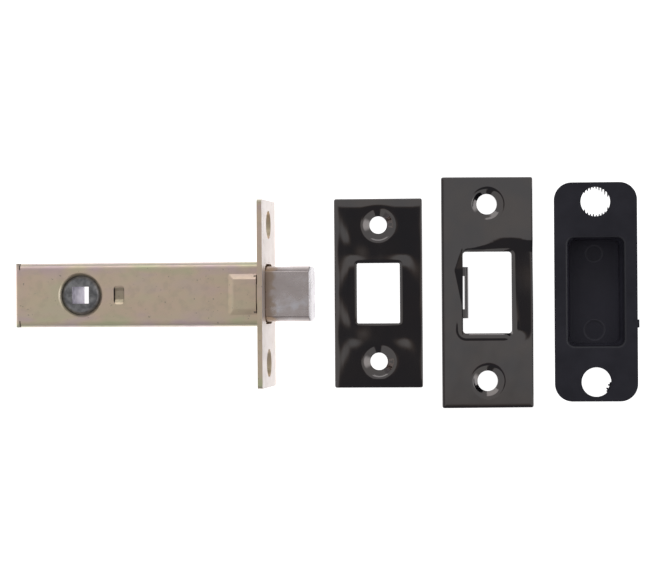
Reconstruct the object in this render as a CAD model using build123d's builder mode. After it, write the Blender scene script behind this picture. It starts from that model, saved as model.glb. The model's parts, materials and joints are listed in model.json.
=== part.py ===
from build123d import *
import os
from math import acos, atan, cos, degrees, radians, sin, tan

os.makedirs("parts", exist_ok=True)

# Bathroom deadbolt with its forend plate, strike plate and dust box, laid out on a bench, in millimetres.
# The lock is drawn in its own frame: X is the throw, Y runs along the forend, Z is the spindle's axis,
# and the origin is the middle of the forend's front face. The bolt is drawn thrown.

# Bolt and tail
throw = 12.0
bolt_height = 16.8
bolt_thickness = 13.0
bolt_flank_run = 1.6
bolt_flank_rise = 3.6
bolt_edge_round = 0.4
bolt_bearing = 14.0
spigot_length = 9.0
spigot_height = 12.0
spigot_thickness = 8.0
tail_sheet = 1.5
tail_waist = 13.2
tail_shoulder = 4.0
tail_end_margin = 2.2
tail_corner = 0.8
bolt_rivet_diameter = 2.5
bolt_rivet_spacing = 7.0
bolt_rivet_head = 4.2
bolt_rivet_head_height = 0.8
drive_pin_diameter = 1.8
drive_pin_end_diameter = 1.4

# Follower
turn = 90.0
spindle_square = 5.2
journal_diameter = 12.0
journal_chamfer = 0.8
core_diameter = 9.8
flange_diameter = 13.8
finger_head_diameter = 2.6
finger_neck = 1.9
detent_flat = 4.1
ear_stand_out = 0.9
ear_tip_diameter = 2.6

# Detent spring
leaf_sheet = 0.4
leaf_width = 5.0
leaf_bend = 1.2
leaf_crown = 5.0
leaf_foot = 5.0
leaf_free_end = 7.0
leaf_free_drop = 2.4
leaf_ramp = 7.0
spring_rivet_diameter = 2.0
spring_rivet_head = 3.4
spring_rivet_head_height = 0.7

# Case
sheet = 1.2
fold_radius = 1.8
backset = 57.0
tail_room = 20.4
flap_slit = 0.3
flap_slit_length = 2.0
flap_fold = 0.9
follower_rim = 0.8
finger_slot_end = 0.6
emboss_length = 9.6
emboss_height = 12.3
emboss_rise = 1.0
emboss_slope_run = 1.5
emboss_round = 1.0
emboss_mouth = 1.0
bridge_distance = 12.0
bridge_length = 5.7
bridge_width = 3.3
bridge_corner = 1.2
bridge_flat = 2.6
bridge_slit = 0.3
cover_tab_width = 4.0
cover_tab_inset = 9.0

# Inner forend
forend_height = 57.0
forend_width = 25.0
forend_thickness = 1.5
forend_corner = 0.8
forend_opening_height = 18.3
forend_opening_width = 14.0
forend_opening_corner = 3.0
forend_hole = 8.6
forend_tab_width = 6.0
forend_tab_sheet = 0.7
forend_screw_edge = 7.4

# Forend plate
plate_end_overlap = 0.7
plate_side_overlap = 1.1
plate_thickness = 1.4
plate_corner = 0.6
plate_opening_height = 18.6
plate_opening_width = 13.3
plate_opening_corner = 0.5
plate_edge_round = 0.35
plate_hole = 5.4
plate_sink = 9.8
plate_dimple = 8.1
plate_dimple_taper = 0.5
sink_angle = 90.0
sink_land = 0.4
sink_round = 1.2

# Strike plate
strike_height = 71.0
strike_width = 28.2
strike_thickness = 1.2
strike_corner = 0.6
strike_edge_round = 0.35
strike_opening_height = 25.1
strike_opening_width = 15.3
strike_opening_corner = 1.0
strike_opening_roll = 1.0
strike_lip_wall = 1.2
strike_lip_drop = 0.5
strike_hole = 6.3
strike_sink = 9.9
strike_dimple = 8.6
strike_screw_edge = 8.3
tang_width = 15.8
tang_leg = 2.8
tang_sheet = 1.0
tang_run = 1.2
tang_lean = 10.0
tang_bend = 0.7
tang_depth = 3.7
tang_slot_depth = 2.4

# Dust box
box_height = 15.0
box_wall = 1.3
box_screw_edge = 5.85
box_flange_width = 24.9
box_flange_thickness = 1.4
box_flange_corner = 5.3
box_hole = 8.9
box_mouth_height = 32.7
box_mouth_width = 17.0
box_floor_height = 31.5
box_floor_width = 14.8
box_corner = 2.0
box_lip_round = 0.7
eject_mark_large = 6.2
eject_mark_small = 5.0
eject_mark_depth = 0.4
eject_mark_spacing = 23.5
gate_nib_width = 2.4
gate_nib_reach = 0.5
gate_nib_offset = 9.6

# Clearances
slide_gap = 0.2
side_gap = 0.3
fork_gap = 0.4
journal_gap = 0.08
flange_gap = 0.1
drive_play = 0.35
stop_gap = 0.15
seat_gap = 0.05
rivet_gap = 0.02

# Bench
lock_to_plate = 5.6
plate_to_strike = 6.1
strike_to_box = 6.2

# Sizes that follow from the ones above
projection = throw + plate_thickness
half_turn = turn / 2
lever_radius = throw / (2 * sin(radians(half_turn)))
finger_angle = 90 - half_turn
inner_height = bolt_height + 2 * slide_gap
inner_depth = bolt_thickness + 2 * slide_gap
case_height = inner_height + 2 * sheet
case_depth = inner_depth + 2 * sheet
case_reach = backset + tail_room
panel_out = case_depth / 2
panel_in = inner_depth / 2
tail_face = spigot_thickness / 2 + tail_sheet
prong_inner = core_diameter / 2 + fork_gap
prong_outer = inner_height / 2 - side_gap
drive_pin_height = (prong_inner + prong_outer) / 2
drive_pin_offset = (finger_head_diameter + drive_pin_diameter) / 2 + drive_play
drive_x = -backset + throw / 2
bolt_rivet_x = -bolt_bearing - spigot_length / 2
spring_rivet_x = -backset - leaf_crown / 2 - leaf_ramp - leaf_foot / 2
spring_floor = -inner_height / 2 + seat_gap
follower_axis = (-backset, 0, 0)
bridge_x = -backset + bridge_distance
finger_half = spigot_thickness / 2 - fork_gap
ear_reach = flange_diameter / 2 + ear_stand_out
forend_screw_spacing = forend_height - 2 * forend_screw_edge
plate_height = forend_height + 2 * plate_end_overlap
plate_width = forend_width + 2 * plate_side_overlap
strike_screw_spacing = strike_height - 2 * strike_screw_edge
box_flange_height = strike_screw_spacing + 2 * box_screw_edge

# Bolt head with rounded flanks and a spigot for the tail plates
with BuildPart() as bolt_head:
    with BuildSketch(Plane.YZ.offset(-bolt_bearing)):
        with BuildLine():
            flank_top = (bolt_height / 2 - bolt_flank_run, bolt_thickness / 2)
            flank_foot = (bolt_height / 2, bolt_thickness / 2 - bolt_flank_rise)
            Line((0, bolt_thickness / 2), flank_top)
            TangentArc(flank_foot, flank_top, tangent=(0, 1))
            Line(flank_foot, (bolt_height / 2, 0))
            mirror(about=Plane.XZ)
            mirror(about=Plane.YZ)
        make_face()
    extrude(amount=bolt_bearing + projection)
    bolt_creases = bolt_head.edges().filter_by(Axis.X).group_by(Axis.Z)
    fillet(bolt_creases[0] + bolt_creases[-1], radius=bolt_edge_round)
    fillet(bolt_head.faces().sort_by(Axis.X)[-1].edges(), radius=bolt_edge_round)
    with BuildSketch(Plane.YZ.offset(-bolt_bearing)):
        Rectangle(spigot_height, spigot_thickness)
    extrude(amount=-spigot_length)
    with BuildSketch(Plane.XY):
        with Locations((bolt_rivet_x, bolt_rivet_spacing / 2), (bolt_rivet_x, -bolt_rivet_spacing / 2)):
            Circle(bolt_rivet_diameter / 2 + rivet_gap)
    extrude(amount=bolt_thickness, both=True, mode=Mode.SUBTRACT)

lock_pieces = {"bolt_head": bolt_head}

# Two forked tail plates, one on each face of the spigot
for side, plate_name in ((1, "tail_plate_shell_side"), (-1, "tail_plate_cover_side")):
    tail_front = -bolt_bearing - seat_gap
    tail_root = -backset + throw
    tail_rear = drive_x - drive_pin_offset - tail_end_margin
    shoulder_x = tail_root + prong_inner + tail_shoulder
    with BuildPart() as tail_plate:
        with BuildSketch(Plane.XY.offset(side * spigot_thickness / 2)) as tail_outline:
            with BuildLine():
                Polyline(
                    (tail_front, 0),
                    (tail_front, tail_waist / 2),
                    (shoulder_x + tail_shoulder, tail_waist / 2),
                    (shoulder_x, prong_outer),
                    (tail_rear, prong_outer),
                    (tail_rear, prong_inner),
                    (tail_root, prong_inner),
                )
                CenterArc((tail_root, 0), prong_inner, 0, 90)
                mirror(about=Plane.XZ)
            make_face()
            fillet(tail_outline.vertices().group_by(Axis.X)[0], radius=tail_corner)
            with Locations((bolt_rivet_x, bolt_rivet_spacing / 2), (bolt_rivet_x, -bolt_rivet_spacing / 2)):
                Circle(bolt_rivet_diameter / 2 + rivet_gap, mode=Mode.SUBTRACT)
            with Locations(
                (drive_x + drive_pin_offset, drive_pin_height),
                (drive_x - drive_pin_offset, drive_pin_height),
            ):
                Circle(drive_pin_end_diameter / 2 + rivet_gap, mode=Mode.SUBTRACT)
        extrude(amount=side * tail_sheet)
    lock_pieces[plate_name] = tail_plate

# Rivets through the tail plates and the spigot
for side, rivet_name in ((1, "bolt_rivet_upper"), (-1, "bolt_rivet_lower")):
    rivet_y = side * bolt_rivet_spacing / 2
    with BuildPart() as bolt_rivet:
        with Locations((bolt_rivet_x, rivet_y, 0)):
            Cylinder(bolt_rivet_diameter / 2, 2 * tail_face)
        for end in (1, -1):
            with BuildSketch(Plane.XY.offset(end * tail_face)):
                with Locations((bolt_rivet_x, rivet_y)):
                    Circle(bolt_rivet_head / 2)
            extrude(amount=end * bolt_rivet_head_height)
        head_rims = bolt_rivet.edges().filter_by(GeomType.CIRCLE).group_by(Axis.Z)
        fillet(head_rims[0] + head_rims[-1], radius=bolt_rivet_head_height / 2)
    lock_pieces[rivet_name] = bolt_rivet

# Shouldered pins between the prongs, which the follower's finger pushes to and fro
for end, pin_name in ((1, "drive_pin_front"), (-1, "drive_pin_rear")):
    with BuildPart() as drive_pin:
        with Locations((drive_x + end * drive_pin_offset, drive_pin_height, 0)):
            Cylinder(drive_pin_diameter / 2, spigot_thickness)
            Cylinder(drive_pin_end_diameter / 2, 2 * tail_face)
    lock_pieces[pin_name] = drive_pin

# Follower with its square hole, finger, detent flats, thrust flanges and stop ears
ear_swing = degrees(acos((inner_height / 2 - stop_gap - ear_tip_diameter / 2) / ear_reach))
core_half = tail_face + side_gap
flange_face = panel_in - flange_gap
journal_face = panel_out - flange_gap
with BuildPart() as follower:
    with BuildSketch(Plane.XY):
        Circle(core_diameter / 2)
    extrude(amount=core_half, both=True)
    with BuildSketch(Plane.XY):
        Rectangle(core_diameter, core_diameter)
        with Locations((-detent_flat, -detent_flat)):
            Rectangle(2 * core_diameter, 2 * core_diameter, align=Align.MIN, mode=Mode.SUBTRACT)
    extrude(amount=finger_half, both=True, mode=Mode.SUBTRACT)
    with BuildSketch(Plane.XY.rotated((0, 0, finger_angle))):
        with Locations((lever_radius / 2, 0)):
            Rectangle(lever_radius, finger_neck)
        with Locations((lever_radius, 0)):
            Circle(finger_head_diameter / 2)
    extrude(amount=finger_half, both=True)
    for side in (1, -1):
        with BuildSketch(Plane.XY.offset(side * core_half)):
            Circle(flange_diameter / 2)
        extrude(amount=side * (flange_face - core_half))
        with BuildSketch(Plane.XY.offset(side * flange_face)):
            Circle(journal_diameter / 2)
        extrude(amount=side * (journal_face - flange_face))
    with BuildSketch(Plane.XY.offset(-flange_face)):
        for swing in (half_turn + ear_swing, -half_turn - ear_swing):
            with PolarLocations(ear_reach, 1, start_angle=finger_angle + swing):
                Circle(ear_tip_diameter / 2)
            with PolarLocations(ear_reach / 2, 1, start_angle=finger_angle + swing):
                Rectangle(ear_reach, ear_tip_diameter)
    extrude(amount=flange_face - core_half)
    journal_rims = follower.edges().filter_by(GeomType.CIRCLE).group_by(Axis.Z)
    chamfer(journal_rims[0] + journal_rims[-1], length=journal_chamfer)
    with BuildSketch(Plane.XY):
        Rectangle(spindle_square, spindle_square)
    extrude(amount=case_depth, both=True, mode=Mode.SUBTRACT)
follower.part.move(Location(follower_axis))
lock_pieces["follower"] = follower

# Leaf spring riveted to the lower wall, its crown under the follower's flat
leaf_low = spring_floor + leaf_sheet / 2
leaf_high = -detent_flat - seat_gap - leaf_sheet / 2
leaf_rear = spring_rivet_x - leaf_foot / 2
with BuildPart() as detent_spring:
    with BuildSketch(Plane.XY):
        with BuildLine():
            FilletPolyline(
                (leaf_rear, leaf_low),
                (leaf_rear + leaf_foot, leaf_low),
                (-backset - leaf_crown / 2, leaf_high),
                (-backset + leaf_crown / 2, leaf_high),
                (-backset + leaf_crown / 2 + leaf_free_end, leaf_high - leaf_free_drop),
                radius=leaf_bend,
            )
        trace(line_width=leaf_sheet)
    extrude(amount=leaf_width / 2, both=True)
    with BuildSketch(Plane.XZ.offset(-spring_floor)):
        with Locations((spring_rivet_x, 0)):
            Circle(spring_rivet_diameter / 2 + rivet_gap)
    extrude(amount=leaf_sheet * 2, both=True, mode=Mode.SUBTRACT)
lock_pieces["detent_spring"] = detent_spring

with BuildPart() as spring_rivet:
    with BuildSketch(Plane.XZ.offset(case_height / 2)):
        with Locations((spring_rivet_x, 0)):
            Circle(spring_rivet_diameter / 2)
    extrude(amount=-(case_height / 2 + spring_floor + leaf_sheet))
    with BuildSketch(Plane.XZ.offset(-spring_floor - leaf_sheet)):
        with Locations((spring_rivet_x, 0)):
            Circle(spring_rivet_head / 2)
    extrude(amount=-spring_rivet_head_height)
lock_pieces["spring_rivet"] = spring_rivet

# Pressings of the case's two side panels, drawn on the panel towards the camera
emboss_slope = atan(emboss_slope_run / emboss_rise)
emboss_inset = sheet * tan((radians(90) - emboss_slope) / 2)
journal_hole = journal_diameter + 2 * journal_gap
with BuildPart() as emboss:
    with BuildSketch(Plane.XY.offset(panel_out)):
        with Locations((-forend_thickness, 0)):
            Rectangle(2 * emboss_length, emboss_height)
    extrude(amount=emboss_rise, taper=degrees(emboss_slope))
    emboss_creases = emboss.edges() - emboss.faces().sort_by(Axis.Z)[0].edges()
    fillet(emboss_creases, radius=emboss_round)
    split(bisect_by=Plane.YZ.offset(-forend_thickness - emboss_mouth), keep=Keep.BOTTOM)

with BuildPart() as forend_tab:
    with BuildSketch(Plane.XY.offset(panel_in + emboss_rise)):
        with Locations((-forend_thickness - emboss_mouth - sheet, 0)):
            Rectangle(
                forend_thickness + emboss_mouth + sheet, forend_tab_width, align=(Align.MIN, Align.CENTER)
            )
    extrude(amount=forend_tab_sheet)

with BuildPart() as piercings:
    with BuildSketch(Plane.XY.offset(panel_in)):
        with Locations((-forend_thickness, 0)):
            Rectangle(2 * (emboss_length - emboss_inset), emboss_height - 2 * emboss_inset)
    extrude(amount=emboss_rise, taper=degrees(emboss_slope))
    split(bisect_by=Plane.YZ.offset(-forend_thickness), keep=Keep.BOTTOM)
    with BuildSketch(Plane.XY.offset(panel_in)):
        with Locations((-forend_thickness - emboss_mouth, 0)):
            Rectangle(emboss_mouth, emboss_height - 2 * emboss_inset, align=(Align.MIN, Align.CENTER))
        with Locations((-backset, 0)):
            Circle(journal_hole / 2)
        with Locations((bridge_x, 0)):
            RectangleRounded(bridge_width, bridge_length, bridge_corner)
    extrude(amount=sheet)
    with Locations((-backset, 0, panel_out - follower_rim / 2)):
        Cone(journal_hole / 2, journal_hole / 2 + follower_rim, follower_rim)

bridge_sink = panel_in - tail_face - side_gap
with BuildPart() as bridge:
    with BuildSketch(Plane.YZ.offset(bridge_x - bridge_width / 2 + bridge_slit)):
        with BuildLine():
            Polyline(
                (0, panel_out - bridge_sink),
                (bridge_flat / 2, panel_out - bridge_sink),
                (bridge_length / 2, panel_out),
                (bridge_length / 2 + sheet, panel_out),
                (bridge_length / 2 + sheet, panel_in),
                (bridge_length / 2, panel_in),
                (bridge_flat / 2, panel_in - bridge_sink),
                (0, panel_in - bridge_sink),
            )
            mirror(about=Plane.YZ)
        make_face()
    extrude(amount=bridge_width - 2 * bridge_slit)

# Folded case shell, open towards the cover, with a slit tail flap and a slot for the finger's tip
cover_tab_places = (-forend_thickness - cover_tab_inset, -case_reach + cover_tab_inset)
flap_slit_x = -case_reach + sheet + flap_slit / 2
finger_slot = 2 * (lever_radius * sin(radians(half_turn)) + finger_slot_end)
with BuildPart() as case_shell:
    with BuildSketch(Plane.YZ.offset(-forend_thickness)) as shell_section:
        with Locations((0, sheet / 2)):
            Rectangle(case_height, case_depth - sheet)
        fillet(shell_section.vertices().group_by(Axis.Y)[-1], radius=fold_radius)
        Rectangle(inner_height, inner_depth, mode=Mode.SUBTRACT)
    extrude(amount=-(case_reach - forend_thickness - sheet))
    with BuildSketch(Plane.YZ.offset(-case_reach)):
        with Locations((0, (panel_out - panel_in + seat_gap) / 2)):
            Rectangle(case_height, panel_out + panel_in - seat_gap)
    extrude(amount=sheet)
    tail_fold = case_shell.edges().filter_by(Axis.Y).group_by(Axis.X)[0].group_by(Axis.Z)[-1]
    fillet(tail_fold, radius=flap_fold)
    with BuildSketch(Plane.XY.offset(panel_out)):
        for side in (1, -1):
            with Locations((flap_slit_x, side * (case_height - flap_slit_length) / 2)):
                Rectangle(flap_slit, flap_slit_length)
    extrude(amount=-panel_out - panel_in, mode=Mode.SUBTRACT)
    add(emboss.part)
    add(piercings.part, mode=Mode.SUBTRACT)
    add(bridge.part)
    add(forend_tab.part)
    with BuildSketch(Plane.XZ.offset(-inner_height / 2)):
        with Locations((-backset, 0)):
            Rectangle(finger_slot, 2 * (finger_half + side_gap))
    extrude(amount=-sheet, mode=Mode.SUBTRACT)
    with BuildSketch(Plane.XZ.offset(inner_height / 2)):
        with Locations((spring_rivet_x, 0)):
            Circle(spring_rivet_diameter / 2 + rivet_gap)
    extrude(amount=sheet, mode=Mode.SUBTRACT)
    with BuildSketch(Plane.XY.offset(-panel_in)):
        for tab_x in cover_tab_places:
            for side in (1, -1):
                with Locations((tab_x, side * (inner_height + sheet) / 2)):
                    Rectangle(cover_tab_width, sheet)
    extrude(amount=-sheet)
lock_pieces["case_shell"] = case_shell

# Plate that closes the shell, notched round the shell's tabs
with BuildPart() as case_cover:
    with BuildSketch(Plane.XY.offset(-panel_out)):
        with Locations((-(case_reach + forend_thickness) / 2, 0)):
            Rectangle(case_reach - forend_thickness, case_height)
        for tab_x in cover_tab_places:
            for side in (1, -1):
                with Locations((tab_x, side * (inner_height + sheet) / 2)):
                    Rectangle(cover_tab_width + 2 * seat_gap, sheet + 2 * seat_gap, mode=Mode.SUBTRACT)
    extrude(amount=sheet)
    add(mirror(emboss.part, about=Plane.XY, mode=Mode.PRIVATE))
    add(mirror(piercings.part, about=Plane.XY, mode=Mode.PRIVATE), mode=Mode.SUBTRACT)
    add(mirror(bridge.part, about=Plane.XY, mode=Mode.PRIVATE))
    add(mirror(forend_tab.part, about=Plane.XY, mode=Mode.PRIVATE))
lock_pieces["case_cover"] = case_cover

# Inner forend, pierced for the bolt, the case's two tabs and the dimples of the forend plate
with BuildPart() as inner_forend:
    with BuildSketch(Plane.YZ):
        RectangleRounded(forend_height, forend_width, forend_corner)
        RectangleRounded(
            forend_opening_height, forend_opening_width, forend_opening_corner, mode=Mode.SUBTRACT
        )
        with Locations((forend_screw_spacing / 2, 0), (-forend_screw_spacing / 2, 0)):
            Circle(forend_hole / 2, mode=Mode.SUBTRACT)
        tab_middle = panel_in + emboss_rise + forend_tab_sheet / 2
        with Locations((0, tab_middle), (0, -tab_middle)):
            Rectangle(
                forend_tab_width + 2 * seat_gap, forend_tab_sheet + 2 * seat_gap, mode=Mode.SUBTRACT
            )
    extrude(amount=-forend_thickness)
lock_pieces["inner_forend"] = inner_forend

# Forend plate, face up on its two dimples
plate_sink_depth = (plate_sink - plate_hole) / 2 / tan(radians(sink_angle / 2)) + sink_land
plate_places = [(0, forend_screw_spacing / 2), (0, -forend_screw_spacing / 2)]
with BuildPart() as forend_plate:
    with BuildSketch(Plane.XY.offset(plate_sink_depth)):
        RectangleRounded(plate_width, plate_height, plate_corner)
        RectangleRounded(
            plate_opening_width, plate_opening_height, plate_opening_corner, mode=Mode.SUBTRACT
        )
    extrude(amount=-plate_thickness)
    fillet(forend_plate.faces().sort_by(Axis.Z)[-1].edges(), radius=plate_edge_round)
    with BuildSketch(Plane.XY.offset(plate_sink_depth - plate_thickness)):
        with Locations(*plate_places):
            Circle(plate_dimple / 2)
    extrude(amount=-(plate_sink_depth - plate_thickness))
    chamfer(
        forend_plate.edges().filter_by(GeomType.CIRCLE).group_by(Axis.Z)[0], length=plate_dimple_taper
    )
    with Locations(*[(x, y, plate_sink_depth) for x, y in plate_places]):
        CounterSinkHole(plate_hole / 2, plate_sink / 2, counter_sink_angle=sink_angle)
    sink_rims = forend_plate.faces().sort_by(Axis.Z)[-1].edges().filter_by(GeomType.CIRCLE)
    fillet(sink_rims.filter_by(lambda rim: abs(rim.radius - plate_sink / 2) < rivet_gap), radius=sink_round)

# Strike plate with a rolled opening and a bendable tang, drawn with its face at zero height
strike_sink_depth = (strike_sink - strike_hole) / 2 / tan(radians(sink_angle / 2)) + sink_land
strike_places = [(0, strike_screw_spacing / 2), (0, -strike_screw_spacing / 2)]
tang_root = -strike_opening_width / 2
tang_level = -strike_thickness + tang_sheet / 2 - strike_lip_drop / 2
tang_knee = tang_root + tang_run
tang_cut = 2 * tang_depth
with BuildPart() as strike_plate:
    with BuildSketch(Plane.XY):
        RectangleRounded(strike_width, strike_height, strike_corner)
    extrude(amount=-strike_thickness)
    fillet(strike_plate.faces().sort_by(Axis.Z)[-1].edges(), radius=strike_edge_round)
    with BuildSketch(Plane.XY.offset(-strike_thickness)):
        RectangleRounded(
            strike_opening_width + 2 * strike_lip_wall,
            strike_opening_height + 2 * strike_lip_wall,
            strike_opening_corner + strike_lip_wall,
        )
    extrude(amount=-strike_lip_drop)
    with BuildSketch(Plane.XY):
        RectangleRounded(strike_opening_width, strike_opening_height, strike_opening_corner)
    extrude(amount=-strike_thickness - strike_lip_drop, mode=Mode.SUBTRACT)
    opening_rim = strike_plate.faces().sort_by(Axis.Z)[-1].inner_wires()[0].edges()
    fillet(opening_rim, radius=strike_opening_roll)
    with BuildSketch(Plane.XY.offset(-strike_thickness)):
        with Locations(*strike_places):
            Circle(strike_dimple / 2)
    extrude(amount=-(strike_sink_depth - strike_thickness))
    with Locations(*strike_places):
        CounterSinkHole(strike_hole / 2, strike_sink / 2, counter_sink_angle=sink_angle)
    sink_rims = strike_plate.faces().sort_by(Axis.Z)[-1].edges().filter_by(GeomType.CIRCLE)
    fillet(sink_rims.filter_by(lambda rim: abs(rim.radius - strike_sink / 2) < rivet_gap), radius=sink_round)
    with BuildSketch(Plane.XZ):
        with BuildLine():
            FilletPolyline(
                (tang_root - strike_lip_wall / 2, tang_level),
                (tang_knee, tang_level),
                (tang_knee + tang_cut * tan(radians(tang_lean)), tang_level - tang_cut),
                radius=tang_bend,
            )
        trace(line_width=tang_sheet)
        with Locations((tang_root, -tang_depth)):
            Rectangle(
                2 * tang_cut, 2 * tang_cut, align=(Align.CENTER, Align.MAX), mode=Mode.SUBTRACT
            )
    extrude(amount=tang_width / 2, both=True)
    with BuildSketch(Plane.XY):
        with Locations((tang_root, 0)):
            Rectangle(
                tang_run - tang_sheet / 2, tang_width - 2 * tang_leg, align=(Align.MIN, Align.CENTER)
            )
    extrude(amount=-tang_slot_depth, mode=Mode.SUBTRACT)

# Moulded dust box, resting on the bottom of its cup
with BuildPart() as dust_box:
    with BuildSketch(Plane.XY.offset(box_height - box_flange_thickness)):
        RectangleRounded(box_flange_width, box_flange_height, box_flange_corner)
        with Locations(*strike_places):
            Circle(box_hole / 2, mode=Mode.SUBTRACT)
        with Locations((box_flange_width / 2, -gate_nib_offset)):
            Rectangle(2 * gate_nib_reach, gate_nib_width)
    extrude(amount=box_flange_thickness)
    with BuildSketch(Plane.XY):
        RectangleRounded(
            box_floor_width + 2 * box_wall, box_floor_height + 2 * box_wall, box_corner + box_wall
        )
    with BuildSketch(Plane.XY.offset(box_height - box_flange_thickness)):
        RectangleRounded(
            box_mouth_width + 2 * box_wall, box_mouth_height + 2 * box_wall, box_corner + box_wall
        )
    loft()
    with BuildSketch(Plane.XY.offset(box_wall)):
        RectangleRounded(box_floor_width, box_floor_height, box_corner)
    with BuildSketch(Plane.XY.offset(box_height)):
        RectangleRounded(box_mouth_width, box_mouth_height, box_corner)
    loft(mode=Mode.SUBTRACT)
    mouth_rim = dust_box.faces().sort_by(Axis.Z)[-1].inner_wires().sort_by(SortBy.LENGTH)[-1].edges()
    fillet(mouth_rim, radius=box_lip_round)
    with BuildSketch(Plane.XY.offset(box_wall)):
        with Locations((0, eject_mark_spacing / 2)):
            Circle(eject_mark_small / 2)
        with Locations((0, -eject_mark_spacing / 2)):
            Circle(eject_mark_large / 2)
    extrude(amount=-eject_mark_depth, mode=Mode.SUBTRACT)

# The lock lies on the forend's edge and on its tail, the strike on its tang and on one long edge
lock_tilt = atan((forend_width - case_depth) / 2 / (case_reach - forend_thickness))
lock_lift = forend_width / 2 * cos(lock_tilt) + forend_thickness * sin(lock_tilt)
lock_left = case_reach * cos(lock_tilt) + panel_out * sin(lock_tilt)
lock_right = projection * cos(lock_tilt) + bolt_thickness / 2 * sin(lock_tilt)
tang_toe = (
    tang_knee
    + (tang_depth + tang_level) * tan(radians(tang_lean))
    + tang_sheet / 2 / cos(radians(tang_lean))
)
strike_tilt = atan((tang_depth - strike_thickness) / (strike_width / 2 - tang_toe))
strike_lift = strike_width / 2 * sin(strike_tilt) + strike_thickness * cos(strike_tilt)
strike_half = strike_width / 2 * cos(strike_tilt)
lock_length = lock_left + lock_right + lock_to_plate
plates_length = plate_width + plate_to_strike + 2 * strike_half + strike_to_box
set_length = lock_length + plates_length + box_flange_width + gate_nib_reach

# The origin is below the middle of the whole set
lock_x = -set_length / 2 + lock_left
plate_x = lock_x + lock_right + lock_to_plate + plate_width / 2
strike_x = plate_x + plate_width / 2 + plate_to_strike + strike_half
box_x = strike_x + strike_half + strike_to_box + box_flange_width / 2
lock_on_bench = Location((lock_x, 0, lock_lift), (0, -degrees(lock_tilt), 0))
bench_pieces = {name: (piece, lock_on_bench) for name, piece in lock_pieces.items()}
bench_pieces["forend_plate"] = (forend_plate, Location((plate_x, 0, 0)))
strike_on_bench = Location((strike_x, 0, strike_lift), (0, degrees(strike_tilt), 0))
bench_pieces["strike_plate"] = (strike_plate, strike_on_bench)
bench_pieces["dust_box"] = (dust_box, Location((box_x, 0, 0)))

for name, (piece, place) in bench_pieces.items():
    piece.part.move(place)
    piece.part.label = name
    export_step(piece.part, f"parts/{name}.step")
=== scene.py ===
import json
from math import ceil, cos, exp, hypot, pi, radians, sin, sqrt, tan

import bpy
from mathutils import Matrix, Vector
from mathutils.geometry import delaunay_2d_cdt


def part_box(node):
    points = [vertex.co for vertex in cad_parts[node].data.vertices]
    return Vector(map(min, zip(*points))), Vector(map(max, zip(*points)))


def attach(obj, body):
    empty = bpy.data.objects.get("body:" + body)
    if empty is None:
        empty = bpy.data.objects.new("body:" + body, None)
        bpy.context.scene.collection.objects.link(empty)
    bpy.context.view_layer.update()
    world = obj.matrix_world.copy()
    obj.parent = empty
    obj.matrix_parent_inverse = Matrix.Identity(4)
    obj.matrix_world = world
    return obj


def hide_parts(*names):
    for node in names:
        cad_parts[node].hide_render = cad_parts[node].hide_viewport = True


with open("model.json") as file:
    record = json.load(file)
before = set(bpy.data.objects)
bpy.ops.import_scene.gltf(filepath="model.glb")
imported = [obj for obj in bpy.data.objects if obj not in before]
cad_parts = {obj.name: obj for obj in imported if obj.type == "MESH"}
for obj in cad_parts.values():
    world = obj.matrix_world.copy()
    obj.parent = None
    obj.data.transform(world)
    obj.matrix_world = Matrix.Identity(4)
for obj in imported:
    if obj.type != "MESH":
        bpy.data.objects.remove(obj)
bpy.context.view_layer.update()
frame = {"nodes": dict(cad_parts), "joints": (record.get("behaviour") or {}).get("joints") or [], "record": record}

# The frame is in metres. Pieces and patterns are laid out in millimetres.
MM = 0.001
set_body = "lock_set"
joints = {joint["name"]: joint for joint in frame["joints"]}
mounts = {mount["name"]: mount for mount in frame["record"]["mounts"]}
spindle_at = Vector(joints["follower_turn"]["pos_m"]) / MM
spindle_axis = Vector(joints["follower_turn"]["axis"])
throw_axis = Vector(mounts["bolt_tip"]["axis"])
forend_at = Vector(mounts["inner_forend_holes"]["pos_m"]) / MM
case_half_depth = 7.9
emboss_half = 6.15
bolt_half = 6.5


# Nodes of a material, with noise of a size in millimetres
def add(tree, kind, inputs=None, **settings):
    node = tree.nodes.new(kind)
    for key, value in settings.items():
        setattr(node, key, value)
    for socket, value in (inputs or {}).items():
        if isinstance(value, bpy.types.NodeSocket):
            tree.links.new(value, node.inputs[socket])
        else:
            node.inputs[socket].default_value = value
    return node


def new_surface(name, **sockets):
    material = bpy.data.materials.new(name)
    material.use_nodes = True
    surface = material.node_tree.nodes["Principled BSDF"]
    for socket, value in sockets.items():
        surface.inputs[socket.replace("_", " ")].default_value = value
    return material, material.node_tree, surface


def vector_maths(tree, operation, first, second=(0, 0, 0), output=0):
    sockets = {0: first, 1: tuple(second)}
    return add(tree, "ShaderNodeVectorMath", sockets, operation=operation).outputs[output]


def dot(tree, first, second):
    return vector_maths(tree, "DOT_PRODUCT", first, second, "Value")


def maths(tree, operation, first, second=0.0):
    return add(tree, "ShaderNodeMath", {0: first, 1: second}, operation=operation).outputs[0]


def millimetres(tree):
    place = add(tree, "ShaderNodeTexCoord").outputs["Object"]
    return vector_maths(tree, "MULTIPLY", place, (1 / MM, 1 / MM, 1 / MM))


def noise(tree, place, size, detail=2.0, stretch=(1, 1, 1)):
    scaled = vector_maths(tree, "MULTIPLY", place, [1 / (size * s) for s in stretch])
    return add(tree, "ShaderNodeTexNoise", {"Vector": scaled, "Scale": 1.0, "Detail": detail}).outputs["Fac"]


def opaque(colour):
    return colour if isinstance(colour, bpy.types.NodeSocket) else (*colour, 1.0)


def ramp(tree, factor, stops):
    node = add(tree, "ShaderNodeValToRGB", {"Fac": factor})
    elements = node.color_ramp.elements
    while len(elements) < len(stops):
        elements.new(1.0)
    for element, (position, colour) in zip(elements, stops):
        element.position = position
        element.color = opaque(colour)
    return node.outputs["Color"]


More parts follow.
